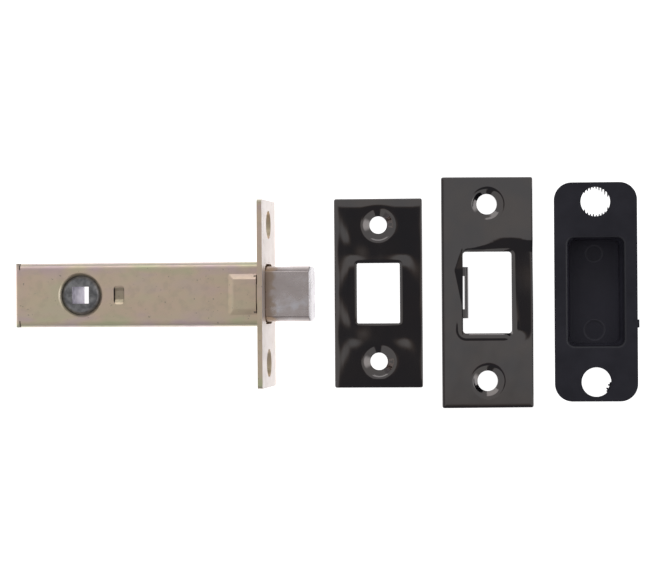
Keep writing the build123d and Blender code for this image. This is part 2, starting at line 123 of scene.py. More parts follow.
# A value eased between two limits, giving 0 to 1 or another pair. Most of a noise lies in noise_range.
noise_range = (0.3, 0.7)
fading = (1.0, 0.0)
facing_range = (0.6, 0.9)


def spread(tree, value, limits, gives=(0.0, 1.0)):
    low, high = limits
    out_low, out_high = gives
    sockets = {"Value": value, "From Min": low, "From Max": high, "To Min": out_low, "To Max": out_high}
    return add(tree, "ShaderNodeMapRange", sockets, interpolation_type="SMOOTHSTEP").outputs["Result"]


# Two colours mixed, through the sockets that the mix node has for colours
mix_factor = 0
mix_first = 6
mix_second = 7
mix_result = 2


def mix(tree, factor, first, second):
    sockets = {mix_factor: factor, mix_first: opaque(first), mix_second: opaque(second)}
    return add(tree, "ShaderNodeMix", sockets, data_type="RGBA").outputs[mix_result]


# Fine relief in layers: a pattern of heights, its depth in millimetres and its strength
def relief(tree, surface, layers):
    normal = None
    for height, depth, strength in layers:
        sockets = {"Height": height, "Distance": depth * MM, "Strength": strength}
        if normal is not None:
            sockets["Normal"] = normal
        normal = add(tree, "ShaderNodeBump", sockets).outputs["Normal"]
    tree.links.new(normal, surface.inputs["Normal"])


# Yellow-passivated zinc on pressed steel, filmed green and mauve at its long edges, darker on level faces sunk
# below the web, with a painted sheen on faces towards the throw and painted shade in the gap behind the forend
zinc_tones = ((0.32, (0.87, 0.665, 0.53)), (0.52, (0.88, 0.705, 0.54)), (0.72, (0.81, 0.70, 0.53)))
film_tones = ((0.36, (0.78, 0.60, 0.66)), (0.5, (0.83, 0.70, 0.54)), (0.64, (0.68, 0.725, 0.45)))
mottled_zinc = (0.71, 0.58, 0.44)
dulled_zinc = (0.44, 0.41, 0.40)
sunk_level_zinc = (0.30, 0.29, 0.20)
painted_sheen_zinc = (0.67, 0.61, 0.585)
painted_gap_shade_zinc = (0.15, 0.13, 0.10)
speckled_zinc = (0.28, 0.23, 0.17)
film_from_edge = 5.2
full_film_from_edge = 0.6
dull_from_edge = 1.4
sunk_start = 0.2
sunk_full = 0.5
emboss_height = 0.6
mouth_behind_face = 2.0
mouth_half = 0.46
mouth_fade = 0.06
emboss_fade = 0.1
tab_inset = 0.3
tab_fade = 0.2
level_range = (0.5, 0.8)
mottle_range = (0.46, 0.68)
mottle_share = (0.0, 0.5)
film_share = (0.2, 0.75)
dull_share = (0.0, 0.6)
sunk_level_share = (0.55, 0.0)
gap_shade_share = (0.75, 0.0)
speck_range = (0.70, 0.78)
speck_share = (0.0, 0.5)
zinc_roughness = (0.34, 0.46)


def passivated_zinc(name, node_name):
    material, tree, surface = new_surface(name, Metallic=0.9)
    place = millimetres(tree)
    facing = add(tree, "ShaderNodeNewGeometry").outputs["Normal"]
    across = maths(tree, "ABSOLUTE", add(tree, "ShaderNodeSeparateXYZ", {0: place}).outputs["Y"])
    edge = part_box(node_name)[1].y / MM
    mottle = spread(tree, noise(tree, place, size=2.6, detail=4.0), mottle_range, mottle_share)
    clouds = ramp(tree, noise(tree, place, size=15.0, detail=3.0), zinc_tones)
    ground = mix(tree, mottle, clouds, mottled_zinc)
    film = ramp(tree, noise(tree, place, size=9.0, detail=2.0, stretch=(1.6, 0.6, 1)), film_tones)
    filming = spread(tree, across, (edge - film_from_edge, edge - full_film_from_edge), film_share)
    dulling = spread(tree, across, (edge - dull_from_edge, edge), dull_share)
    dulled = mix(tree, dulling, mix(tree, filming, ground, film), dulled_zinc)
    height = dot(tree, vector_maths(tree, "SUBTRACT", place, spindle_at), spindle_axis)
    sunk = (case_half_depth - sunk_full, case_half_depth - sunk_start)
    # Level faces sunk below the web are made darker.
    below_web = spread(tree, height, sunk, sunk_level_share)
    level = spread(tree, dot(tree, facing, spindle_axis), level_range)
    sunk_darkened = mix(tree, maths(tree, "MULTIPLY", level, below_web), dulled, sunk_level_zinc)
    # Painted sheen: faces towards the throw, such as the forend's front, get a paler, pinker tone that stands in
    # for the strong light on them.
    facing_throw = spread(tree, dot(tree, facing, throw_axis), facing_range)
    sheened = mix(tree, facing_throw, sunk_darkened, painted_sheen_zinc)
    # Painted shade: a dark line across the emboss's width, in the gap between the emboss's open end and the back
    # of the forend.
    from_face = dot(tree, vector_maths(tree, "SUBTRACT", place, forend_at), throw_axis)
    from_mouth = maths(tree, "ABSOLUTE", maths(tree, "ADD", from_face, mouth_behind_face))
    in_mouth = spread(tree, from_mouth, (mouth_half, mouth_half + mouth_fade), gap_shade_share)
    emboss_top = case_half_depth + emboss_height
    below_emboss = spread(tree, height, (emboss_top, emboss_top + emboss_fade), fading)
    tab_side = emboss_half - tab_inset
    within_tab = spread(tree, across, (tab_side - tab_fade, tab_side), fading)
    gap_shade = maths(tree, "MULTIPLY", maths(tree, "MULTIPLY", in_mouth, below_emboss), within_tab)
    specks = spread(tree, noise(tree, place, size=0.9, detail=1.0), speck_range, speck_share)
    speckled = mix(tree, specks, mix(tree, gap_shade, sheened, painted_gap_shade_zinc), speckled_zinc)
    tree.links.new(speckled, surface.inputs["Base Color"])
    blotches = noise(tree, place, size=3.2, detail=3.0)
    tree.links.new(spread(tree, blotches, noise_range, zinc_roughness), surface.inputs["Roughness"])
    grain = noise(tree, place, size=0.3, detail=2.0, stretch=(3, 1, 1))
    relief(tree, surface, ((grain, 0.012, 0.5), (blotches, 0.02, 0.3)))
    return material


# Satin nickel with rubbed patches, scratches along the throw, painted shade on its flanks by the creases, a brown
# painted reflection of the forend near it and an end painted bright as a painted highlight
nickel_tones = ((0.35, (0.62, 0.545, 0.53)), (0.58, (0.70, 0.63, 0.62)), (0.72, (0.80, 0.78, 0.82)))
scratched_nickel = (0.42, 0.37, 0.36)
painted_flank_shade_nickel = (0.15, 0.13, 0.13)
painted_end_highlight_nickel = (0.70, 0.67, 0.70)
painted_forend_reflection_nickel = (0.44, 0.31, 0.19)
brown_full = 2.0
brown_end = 4.4
brown_waver = 1.2
crease_reach = 3.2
scratch_range = (0.62, 0.74)
scratch_share = (0.0, 0.4)
flank_shade_share = (0.0, 0.85)
flank_range = (0.78, 0.92)
brown_share = (0.6, 0.0)
nickel_roughness = (0.34, 0.22)


def satin_nickel(name):
    material, tree, surface = new_surface(name, Metallic=1.0)
    place = millimetres(tree)
    facing = add(tree, "ShaderNodeNewGeometry").outputs["Normal"]
    patches = noise(tree, place, size=6.5, detail=4.0)
    scratches = noise(tree, place, size=0.35, detail=2.0, stretch=(14, 1, 1))
    scratched = spread(tree, scratches, scratch_range, scratch_share)
    worn = mix(tree, scratched, ramp(tree, patches, nickel_tones), scratched_nickel)
    # Painted shade: flank faces towards the creases are darkened.
    height = dot(tree, vector_maths(tree, "SUBTRACT", place, spindle_at), spindle_axis)
    from_middle = maths(tree, "ABSOLUTE", height)
    towards_crease = spread(tree, from_middle, (bolt_half - crease_reach, bolt_half), flank_shade_share)
    level = maths(tree, "ABSOLUTE", dot(tree, facing, spindle_axis))
    on_flank = spread(tree, level, flank_range, fading)
    flank_shaded = mix(tree, maths(tree, "MULTIPLY", towards_crease, on_flank), worn, painted_flank_shade_nickel)
    # Painted highlight: faces towards the throw, the bolt's end, are painted bright.
    facing_throw = spread(tree, dot(tree, facing, throw_axis), facing_range)
    end_highlighted = mix(tree, facing_throw, flank_shaded, painted_end_highlight_nickel)
    # Painted reflection: a brown band by the forend stands for the forend's zinc mirrored in the bolt.
    from_forend = dot(tree, vector_maths(tree, "SUBTRACT", place, forend_at), throw_axis)
    waver = spread(tree, noise(tree, place, size=2.5, detail=3.0), noise_range, (-brown_waver, brown_waver))
    forend_reflecting = spread(tree, maths(tree, "ADD", from_forend, waver), (brown_full, brown_end), brown_share)
    tree.links.new(mix(tree, forend_reflecting, end_highlighted, painted_forend_reflection_nickel), surface.inputs["Base Color"])
    tree.links.new(spread(tree, patches, noise_range, nickel_roughness), surface.inputs["Roughness"])
    relief(tree, surface, ((scratches, 0.01, 0.5), (noise(tree, place, size=2.4, detail=3.0), 0.02, 0.25)))
    return material


# Plain worked steel and blued spring steel
def worked_steel(name, pale, dark, dark_roughness, pale_roughness):
    material, tree, surface = new_surface(name, Metallic=1.0)
    place = millimetres(tree)
    clouds = noise(tree, place, size=2.2, detail=4.0)
    tree.links.new(ramp(tree, clouds, ((0.3, dark), (0.7, pale))), surface.inputs["Base Color"])
    roughness = spread(tree, clouds, noise_range, (dark_roughness, pale_roughness))
    tree.links.new(roughness, surface.inputs["Roughness"])
    relief(tree, surface, ((noise(tree, place, size=0.2, detail=2.0, stretch=(1, 1, 4)), 0.008, 0.5),))
    return material


# Dull cast follower, bright where its square hole is broached
follower_tones = ((0.3, (0.165, 0.165, 0.172)), (0.5, (0.25, 0.25, 0.257)), (0.72, (0.39, 0.39, 0.397)))
broached_metal = (0.50, 0.48, 0.56)
broached_reach = 3.7
broached_fade = 0.2
side_wall_range = (0.3, 0.6)
follower_roughness = (0.52, 0.36)


def cast_follower(name):
    material, tree, surface = new_surface(name, Metallic=1.0)
    place = millimetres(tree)
    offset = vector_maths(tree, "SUBTRACT", place, spindle_at)
    crossed = vector_maths(tree, "CROSS_PRODUCT", offset, spindle_axis)
    reach = vector_maths(tree, "LENGTH", crossed, output="Value")
    along = dot(tree, add(tree, "ShaderNodeNewGeometry").outputs["Normal"], spindle_axis)
    side_wall = spread(tree, maths(tree, "ABSOLUTE", along), side_wall_range, fading)
    by_square = spread(tree, reach, (broached_reach, broached_reach + broached_fade), fading)
    broached = maths(tree, "MULTIPLY", by_square, side_wall)
    mottle = noise(tree, place, size=1.6, detail=4.0)
    skin = ramp(tree, mottle, follower_tones)
    tree.links.new(mix(tree, broached, skin, broached_metal), surface.inputs["Base Color"])
    tree.links.new(spread(tree, mottle, noise_range, follower_roughness), surface.inputs["Roughness"])
    broach_lines = noise(tree, place, size=0.25, detail=1.0, stretch=(1, 1, 20))
    relief(tree, surface, ((noise(tree, place, size=0.5, detail=3.0), 0.05, 0.45), (broach_lines, 0.01, 0.3)))
    return material


# Polished black nickel over pressed steel
black_tones = ((0.35, (0.140, 0.134, 0.136)), (0.65, (0.156, 0.143, 0.139)))
wipe_range = (0.35, 0.75)
black_roughness = (0.06, 0.12)


def black_nickel(name):
    material, tree, surface = new_surface(name, Metallic=1.0)
    place = millimetres(tree)
    clouds = ramp(tree, noise(tree, place, size=9.0, detail=2.0), black_tones)
    tree.links.new(clouds, surface.inputs["Base Color"])
    wipes = noise(tree, place, size=5.0, detail=4.0, stretch=(1, 2.5, 1))
    tree.links.new(spread(tree, wipes, wipe_range, black_roughness), surface.inputs["Roughness"])
    relief(tree, surface, ((noise(tree, place, size=3.5, detail=1.0), 0.006, 0.6),))
    return material


# Black moulded plastic with a sparked texture, painted paler down in the box as painted light, with a painted
# highlight on the mouth's lip, and paler at the rims of its ejector marks
plastic_tones = ((0.3, (0.0155, 0.015, 0.0235)), (0.7, (0.023, 0.022, 0.033)))
painted_inner_light_plastic = (0.058, 0.056, 0.080)
painted_lip_highlight_plastic = (0.062, 0.062, 0.07)
rim_plastic = (0.115, 0.112, 0.14)
box_floor = 1.3
box_mouth_half = Vector((8.5, 16.35, 0))
box_corner = 2.0
box_corner_at = box_mouth_half - Vector((box_corner, box_corner, 0))
box_middle = Vector(mounts["dust_box_holes"]["pos_m"]) / MM
inner_light_start = 0.8
inner_light_full = 8
box_lip_start = 0.7
box_lip_full = 0.3
just_inside = (0.0, 0.15)
lip_edge = (0.3, 0.7)
rim_edge = (0.1, 0.4)
just_above_floor = (box_floor + 0.05, box_floor + 0.15)
inner_light_share = (0.9, 0.0)
lip_highlight_share = (0.0, 0.35)
rim_share = (0.8, 0.0)
plastic_roughness = (0.42, 0.56)
eject_from_middle = Vector((0, 11.75, 0))
eject_upper_radius = 2.5
eject_lower_radius = 3.1
eject_marks = (
    (box_middle + eject_from_middle, eject_upper_radius),
    (box_middle - eject_from_middle, eject_lower_radius),
)


def moulded_plastic(name):
    material, tree, surface = new_surface(name, Specular_IOR_Level=0.36)
    place = millimetres(tree)
    clouds = noise(tree, place, size=6.0, detail=3.0)
    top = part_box("dust_box")[1].z / MM
    height = add(tree, "ShaderNodeSeparateXYZ", {0: place}).outputs["Z"]
    from_middle = vector_maths(tree, "ABSOLUTE", vector_maths(tree, "SUBTRACT", place, box_middle))
    past_corner = vector_maths(tree, "MAXIMUM", vector_maths(tree, "SUBTRACT", from_middle, box_corner_at))
    flat_past = vector_maths(tree, "MULTIPLY", past_corner, (1, 1, 0))
    from_mouth = maths(tree, "SUBTRACT", vector_maths(tree, "LENGTH", flat_past, output="Value"), box_corner)
    # Painted light: faces down inside the box are painted paler and bluer in place of the light that reaches in.
    inside = spread(tree, from_mouth, just_inside, fading)
    inner_light = spread(tree, height, (top - inner_light_full, top - inner_light_start), inner_light_share)
    deep = maths(tree, "MULTIPLY", inside, inner_light)
    inner_lit = mix(tree, deep, ramp(tree, clouds, plastic_tones), painted_inner_light_plastic)
    # Painted highlight: a paler band round the inside of the mouth's lip, near the top.
    inside_lip = spread(tree, from_mouth, lip_edge, fading)
    near_top = spread(tree, height, (top - box_lip_start, top - box_lip_full), lip_highlight_share)
    coloured = mix(tree, maths(tree, "MULTIPLY", inside_lip, near_top), inner_lit, painted_lip_highlight_plastic)
    on_floor = spread(tree, height, just_above_floor, rim_share)
    for centre, radius in eject_marks:
        flat = vector_maths(tree, "MULTIPLY", vector_maths(tree, "SUBTRACT", place, centre), (1, 1, 0))
        from_rim = maths(tree, "SUBTRACT", vector_maths(tree, "LENGTH", flat, output="Value"), radius)
        rim = spread(tree, maths(tree, "ABSOLUTE", from_rim), rim_edge, fading)
        coloured = mix(tree, maths(tree, "MULTIPLY", rim, on_floor), coloured, rim_plastic)
    tree.links.new(coloured, surface.inputs["Base Color"])
    tree.links.new(spread(tree, clouds, noise_range, plastic_roughness), surface.inputs["Roughness"])
    sparked = noise(tree, place, size=0.35, detail=2.0)
    flow = noise(tree, place, size=2.0, detail=3.0, stretch=(1, 6, 1))
    relief(tree, surface, ((flow, 0.04, 0.35), (sparked, 0.02, 0.5)))
    return material


zinc = passivated_zinc("passivated_zinc", "case_shell")
forend_zinc = passivated_zinc("forend_zinc", "inner_forend")
nickel = satin_nickel("satin_nickel")
steel = worked_steel(
    "worked_steel",
    pale=(0.60, 0.59, 0.57),
    dark=(0.42, 0.41, 0.40),
    dark_roughness=0.40,
    pale_roughness=0.28,
)
spring = worked_steel(
    "blued_spring",
    pale=(0.26, 0.27, 0.32),
    dark=(0.14, 0.15, 0.20),
    dark_roughness=0.36,
    pale_roughness=0.24,
)
black = black_nickel("black_nickel")
plastic = moulded_plastic("moulded_plastic")
finishes = {
    "case_shell": zinc,
    "case_cover": zinc,
    "inner_forend": forend_zinc,
    "tail_plate_shell_side": zinc,
    "tail_plate_cover_side": zinc,
    "bolt_head": nickel,
    "bolt_rivet_upper": steel,
    "bolt_rivet_lower": steel,
    "drive_pin_front": steel,
    "drive_pin_rear": steel,
    "spring_rivet": steel,
    "detent_spring": spring,
    "follower": cast_follower("cast_follower"),
    "forend_plate": black,
    "strike_plate": black,
    "dust_box": plastic,
}
for node_name, finish in finishes.items():
    for material_slot in frame["nodes"][node_name].material_slots:
        material_slot.material = finish


# A piece of two skins over the same faces, walled round their free edges
sharp_from = radians(40)


def two_skins(name, place, upper, lower, faces, finish, slot):
    count = len(upper)
    sides = {(face[i - 1], face[i]) for face in faces for i in range(len(face))}
    under = [tuple(count + corner for corner in reversed(face)) for face in faces]
    walls = [(b, a, a + count, b + count) for a, b in sorted(sides) if (b, a) not in sides]
    mesh = bpy.data.meshes.new(name)
    mesh.from_pydata([place @ (Vector(point) * MM) for point in upper + lower], [], faces + under + walls)
    mesh.materials.append(finish)
    mesh.shade_smooth()
    mesh.set_sharp_from_angle(angle=sharp_from)
    piece = bpy.data.objects.new(name, mesh)
    bpy.context.collection.objects.link(piece)
    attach(piece, set_body)
    return piece


# Outlines of pressed plates, as closed loops of points and as distances from them
def spaced(loop, step):
    points = []
    for a, b in zip(loop, loop[1:] + loop[:1]):
        pieces = max(1, ceil((b - a).length / step))
        points += [a.lerp(b, i / pieces) for i in range(pieces)]
    return points


class Rectangle:
    arc_steps = 6
    least_corner = 0.05

    def __init__(self, width, height, corner, outwards):
        self.half = Vector((width / 2, height / 2))
        self.corner = corner
        self.outwards = outwards

    def ring(self, offset, step):
        grown = offset if self.outwards else -offset
        corner = max(self.corner + grown, self.least_corner)
        half = self.half + Vector((grown - corner, grown - corner))
        loop = []
        for quarter, (side_x, side_y) in enumerate(((1, 1), (-1, 1), (-1, -1), (1, -1))):
            for i in range(self.arc_steps + 1):
                angle = (quarter + i / self.arc_steps) * pi / 2
                x = side_x * half.x + corner * cos(angle)
                y = side_y * half.y + corner * sin(angle)
                loop.append(Vector((x, y)))
        return spaced(loop, step)

    def away(self, point):
        x = abs(point.x) - self.half.x + self.corner
        y = abs(point.y) - self.half.y + self.corner
        outside = hypot(max(x, 0), max(y, 0)) + min(max(x, y), 0) - self.corner
        return outside if self.outwards else -outside


class Hole:
    def __init__(self, x, y, radius):
        self.centre = Vector((x, y))
        self.radius = radius

    def ring(self, offset, step):
        radius = self.radius + offset
        pieces = ceil(2 * pi * radius / step)
        turns = [2 * pi * i / pieces for i in range(pieces)]
        return [self.centre + radius * Vector((cos(turn), sin(turn))) for turn in turns]

    def away(self, point):
        return (point - self.centre).length - self.radius


# Faces over a plate, with rings of points that close up towards its edges
faces_inside = 1
joined_within = 1e-6


def plate_faces(edges, offsets, step):
    points = []
    borders = []
    for edge in edges:
        start = len(points)
        points += edge.ring(0, step / 2)
        borders += [(i, i + 1) for i in range(start, len(points) - 1)] + [(len(points) - 1, start)]
    for edge in edges:
        for offset in offsets:
            for point in edge.ring(offset, step / 2):
                if all(other.away(point) > offset for other in edges if other is not edge):
                    points.append(point)
    across, along = edges[0].half
    for i in range(-int(across / step), int(across / step) + 1):
        for j in range(-int(along / step), int(along / step) + 1):
            point = Vector((i * step, j * step))
            if all(edge.away(point) > offsets[-1] + step / 2 for edge in edges):
                points.append(point)
    flat, _, faces, *_ = delaunay_2d_cdt(points, borders, [], faces_inside, joined_within)
    kept = []
    for face in faces:
        middle = sum((flat[corner] for corner in face), Vector((0, 0))) / len(face)
        if all(edge.away(middle) > 0 for edge in edges):
            kept.append(tuple(face))
    return flat, kept


# How far a value has come from a start to an end, evenly or easing in and out
def share(value, start, end):
    return min(max((value - start) / (end - start), 0), 1)


def ease(value, start, end):
    part = share(value, start, end)
    return part * part * (3 - 2 * part)


# Depths below a pressed plate's face
edge_round = 0.3
edge_steepness = 0.94
ripple_phases = (0.7, 0.4)
ripple_stretch = 0.8


def crown(distance, width, slope):
    return slope * max(width - distance, 0) ** 2 / (2 * width)


def tight_round(distance):
    inside = max(edge_round - distance, 0)
    return edge_round - sqrt(edge_round**2 - inside**2 * edge_steepness)


def dimple(distance, reach, rim, slope):
    if distance > reach + rim:
        return 0.0
    if distance > reach - rim:
        return slope * (reach + rim - distance) ** 2 / (4 * rim)
    return slope * (reach - distance)


def trough(point, middle, size, depth, shallowest, deepens, widest, widens):
    deeper = shallowest + (1 - shallowest) * ease(abs(point.x), *deepens)
    wider = size * (1 + (widest - 1) * ease(abs(point.x), *widens))
    return depth * deeper * exp(-((abs(point.y) - middle) ** 2) / (2 * wider**2))


def bead(distance, middle, half_width, height):
    return -height * ease(abs(distance - middle), half_width, 0)


def ripple(point, pitch):
    phase_x, phase_y = ripple_phases
    return sin(point.x / pitch + phase_x) * cos(point.y / pitch * ripple_stretch + phase_y)


# Forend plate: crowned towards its edges, with two deep dimples and a trough above and below its opening
plate_offsets = (0.05, 0.12, 0.22, 0.36, 0.55, 0.75, 0.95, 1.15, 1.35, 1.55, 1.75, 1.95, 2.15, 2.35, 2.6, 2.9)
plate_step = 0.8
plate_thickness = 1.4
plate_corner = 0.6
plate_low, plate_high = (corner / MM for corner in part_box("forend_plate"))
plate_screws = mounts["forend_screws"]["dims"]
plate_hole_y = plate_screws["spacing_y_mm"] / 2
plate_width = plate_high.x - plate_low.x
plate_height = plate_high.y - plate_low.y
plate_outline = Rectangle(plate_width, plate_height, plate_corner, outwards=False)
plate_opening = Rectangle(width=13.3, height=18.6, corner=0.5, outwards=True)
plate_holes = [Hole(0, side * plate_hole_y, plate_screws["hole_r_mm"]) for side in (1, -1)]
plate_dimple = {"reach": 2.2, "rim": 0.5, "slope": 0.65}
plate_side_crown = {"width": 1.7, "slope": tan(radians(6.5))}
plate_end_crown = {"width": 3.2, "slope": tan(radians(9))}
plate_hole_crown = {"width": 4.8, "slope": tan(radians(7))}
plate_mouth_crown = {"width": 1.0, "slope": tan(radians(16))}
plate_trough = {
    "middle": 12.8,
    "size": 2.4,
    "depth": 0.34,
    "shallowest": 0.3,
    "deepens": (1, 9),
    "widest": 2.6,
    "widens": (8.2, 13.6),
}
plate_ripple = 0.012
plate_ripple_pitch = 2.6


def forend_plate():
    flat, faces = plate_faces([plate_outline, plate_opening, *plate_holes], plate_offsets, plate_step)
    upper = []
    for point in flat:
        depth = tight_round(max(plate_outline.away(point), 0))
        depth += crown(plate_outline.half.x - abs(point.x), **plate_side_crown)
        depth += crown(plate_outline.half.y - abs(point.y), **plate_end_crown)
        depth += crown(max(plate_opening.away(point), 0), **plate_mouth_crown)
        for hole in plate_holes:
            from_hole = max(hole.away(point), 0)
            depth += dimple(from_hole, **plate_dimple) + crown(from_hole, **plate_hole_crown)
        depth += trough(point, **plate_trough)
        depth += plate_ripple * (1 + ripple(point, plate_ripple_pitch))
        upper.append((*point, -depth))
    lower = [(x, y, max(z - plate_thickness, plate_low.z - plate_high.z)) for x, y, z in upper]
    middle = Vector(((plate_low.x + plate_high.x) / 2, 0, plate_high.z))
    place = Matrix.Translation(middle * MM)
    piece = two_skins("pressed_forend_plate", place, upper, lower, faces, black, "black_nickel")
    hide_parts("forend_plate")


# Strike plate: its right strip leans into the opening and a tang is bent down at the opening's left
strike_step = 0.9
strike_axis = Vector(mounts["strike_screws"]["axis"])
strike_thickness = 1.2
strike_height = 71.0
strike_width = 28.2
strike_corner = 0.6
strike_screws = mounts["strike_screws"]["dims"]
strike_hole_y = strike_screws["pcd_mm"] / 2
strike_outline = Rectangle(strike_width, strike_height, strike_corner, outwards=False)
strike_opening = Rectangle(width=15.3, height=25.1, corner=1.0, outwards=True)
strike_holes = [Hole(0, side * strike_hole_y, strike_screws["hole_r_mm"]) for side in (1, -1)]
strike_dimple = {"reach": 1.7, "rim": 0.6, "slope": 0.65}
strike_edge_crown = {"width": 1.2, "slope": tan(radians(4))}
strike_mouth_crown = {"width": 1.1, "slope": tan(radians(38))}
strike_roll_grows = 2.0
strike_face_above_mount = 2.0
strike_middle = Vector(mounts["strike_screws"]["pos_m"]) / MM + strike_axis * strike_face_above_mount
strike_across = Vector((strike_axis.z, 0, -strike_axis.x))
strike_bead = {"middle": 1.5, "half_width": 0.7, "height": 0.08}
bead_below = (-8, -12)
bead_left = (11.5, 9.5)
tang_width = 15.8
tang_leg = 2.8
tang_sheet = 1.0
tang_run = 1.2
tang_lean = radians(10)
tang_bend = 0.7
tang_bend_steps = 6
tang_depth = 3.7
tang_level = -0.95
tang_overlap = 0.6

# The strike's right strip, which leans in and curls more towards its lower end
strip_slope = 0.07
strip_curl = 0.05
strip_curl_grows = (12, -12)
strip_ends = (17, 11)
strip_foot = (-4, -10)
strip_start, strip_foot_start = -2, 5
strip_full, strip_foot_full = 7, 9


def strip_lean(point):
    strip = strike_outline.half.x - strike_opening.half.x
    inwards = 1 - share(point.x, strike_opening.half.x, strike_outline.half.x)
    curl = strip_curl * (1 + ease(point.y, *strip_curl_grows))
    foot = ease(point.y, *strip_foot)
    start = strip_start + (strip_foot_start - strip_start) * foot
    full = strip_full + (strip_foot_full - strip_full) * foot
    lean = strip * (strip_slope * inwards + curl * inwards**2)
    return lean * ease(abs(point.y), *strip_ends) * ease(point.x, start, full)


# A wedge above the opening, wider to the right
wedge_slope = tan(radians(8))
wedge_narrow, wedge_wide = 0.5, 3.4
wedge_widens = (-7.6, 5.4)
wedge_from_left = (-8.6, -6.6)
wedge_from_below = (-6, 12)


def wedge_lean(point):
    width = wedge_narrow + (wedge_wide - wedge_narrow) * share(point.x, *wedge_widens)
    above = max(point.y - strike_opening.half.y, 0)
    lean = wedge_slope * max(width - above, 0)
    return lean * ease(point.x, *wedge_from_left) * ease(point.y, *wedge_from_below)


# The lip beside the tang, pulled up as the tang was bent
lip_slope = tan(radians(6.5))
lip_narrow, lip_wide = 0.3, 2.5
lip_top, lip_widest_at, lip_bottom = 13.5, 6.9, -4.0
lip_ends = (14.5, 12.5)


def lip_lean(point):
    if point.x >= 0:
        return 0.0
    from_left = max(-strike_opening.half.x - point.x, 0)
    widening = min(share(point.y, lip_top, lip_widest_at), share(point.y, lip_bottom, lip_widest_at))
    width = lip_narrow + (lip_wide - lip_narrow) * widening
    return -lip_slope * max(width - from_left, 0) * ease(abs(point.y), *lip_ends)


def strike_plate():
    flat, faces = plate_faces([strike_outline, strike_opening, *strike_holes], plate_offsets, strike_step)
    upper = []
    lower = []
    for point in flat:
        margin = max(strike_outline.away(point), 0)
        mouth = max(strike_opening.away(point), 0)
        rolled = ease(point.x + strike_opening.half.x, 0, strike_roll_grows)
        depth = crown(margin, **strike_edge_crown) + tight_round(margin)
        depth += crown(mouth, **strike_mouth_crown) * rolled
        depth += strip_lean(point) + wedge_lean(point) + lip_lean(point)
        depth += bead(mouth, **strike_bead) * ease(point.y, *bead_below) * ease(point.x, *bead_left)
        depth += sum(dimple(max(hole.away(point), 0), **strike_dimple) for hole in strike_holes)
        floor_level = -(strike_middle.z + point.x * strike_across.z) / strike_axis.z
        upper.append((*point, -depth))
        lower.append((*point, max(-depth - strike_thickness, floor_level)))
    turned = Matrix((strike_across, Vector((0, 1, 0)), strike_axis)).transposed().to_4x4()
    place = Matrix.Translation(strike_middle * MM) @ turned
    piece = two_skins("pressed_strike_plate", place, upper, lower, faces, black, "black_nickel")
    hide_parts("strike_plate")
    strike_tang(place)


def strike_tang(place):
    root = -strike_opening.half.x
    knee = root + tang_run
    turn = pi / 2 - tang_lean
    bend_start = knee - tang_bend * tan(turn / 2)
    line = [(root - tang_overlap, tang_level, 0.0), (bend_start, tang_level, 0.0)]
    for i in range(1, tang_bend_steps + 1):
        angle = turn * i / tang_bend_steps
        line.append((bend_start + tang_bend * sin(angle), tang_level - tang_bend * (1 - cos(angle)), angle))
    x, z, angle = line[-1]
    line.append((x + (tang_depth + z) * tan(tang_lean), -tang_depth + tang_sheet / 2 * sin(tang_lean), angle))
    slit_half = tang_width / 2 - tang_leg
    rows = (-tang_width / 2, -slit_half, slit_half, tang_width / 2)
    skins = []
    for side in (tang_sheet / 2, -tang_sheet / 2):
        skins.append([(x + side * sin(a), y, z + side * cos(a)) for x, z, a in line for y in rows])
    faces = []
    across = len(rows)
    for station in range(len(line) - 1):
        for row in range(across - 1):
            in_slit = row == 1 and station == 0
            if not in_slit:
                first = station * across + row
                faces.append((first, first + across, first + across + 1, first + 1))
    two_skins("strike_tang", place, *skins, faces, black, "black_nickel")


# Moulding flash left in the dust box's screw holes
flash_thickness = 0.5
flash_root = 0.3
flash_tip = 0.45
flash_pitch = 0.87
tooth_corners = 4
comb_each_way = 4
comb_shift = 0.3
comb_clear = 0.3
comb_tooth = 0.5
comb_upper_least, comb_upper_more = 0.4, 0.35
comb_lower_least, comb_lower_more = 0.45, 0.3
comb_longer = 0.6
comb_lengthens = (0.6, 1.4)
comb_rhythm = 2.3
comb_phase = 1.0
# Each nib's degrees round the lower hole, its length inwards and its width
nibs = ((-5, 0.5, 1.1), (-13, 0.9, 0.9), (-22, 0.45, 1.0), (-31, 1.0, 0.9), (-39, 0.5, 1.1))
box_screws = mounts["dust_box_holes"]
box_hole = box_screws["dims"]["hole_r_mm"]
box_hole_y = box_screws["dims"]["spacing_y_mm"] / 2


def flash(name, centre_y, teeth):
    upper = []
    for root, inwards, length, width in teeth:
        aside = Vector((-inwards.y, inwards.x)) * width / 2
        foot = root - inwards * flash_root
        tip = root + inwards * length
        for corner in (foot - aside, tip - aside * flash_tip, tip + aside * flash_tip, foot + aside):
            upper.append((*corner, flash_thickness / 2))
    lower = [(x, y, -flash_thickness / 2) for x, y, _ in upper]
    firsts = range(0, len(upper), tooth_corners)
    faces = [tuple(range(first, first + tooth_corners)) for first in firsts]
    middle = Vector(box_screws["pos_m"]) + Vector((0, centre_y * MM, 0))
    two_skins(name, Matrix.Translation(middle), upper, lower, faces, plastic, "black_plastic")


def comb_teeth():
    teeth = []
    for i in range(-comb_each_way, comb_each_way + 1):
        x = (i + comb_shift) * flash_pitch
        if abs(x) < box_hole - comb_clear:
            reach = sqrt(box_hole**2 - x**2)
            ragged = 0.5 + 0.5 * sin(comb_rhythm * i + comb_phase)
            longer = comb_longer * ease(x, *comb_lengthens)
            upper = comb_upper_least + comb_upper_more * ragged + longer
            lower = comb_lower_least + comb_lower_more * (1 - ragged)
            teeth.append((Vector((x, reach)), Vector((0, -1)), upper, comb_tooth))
            teeth.append((Vector((x, -reach)), Vector((0, 1)), lower, comb_tooth))
    return teeth


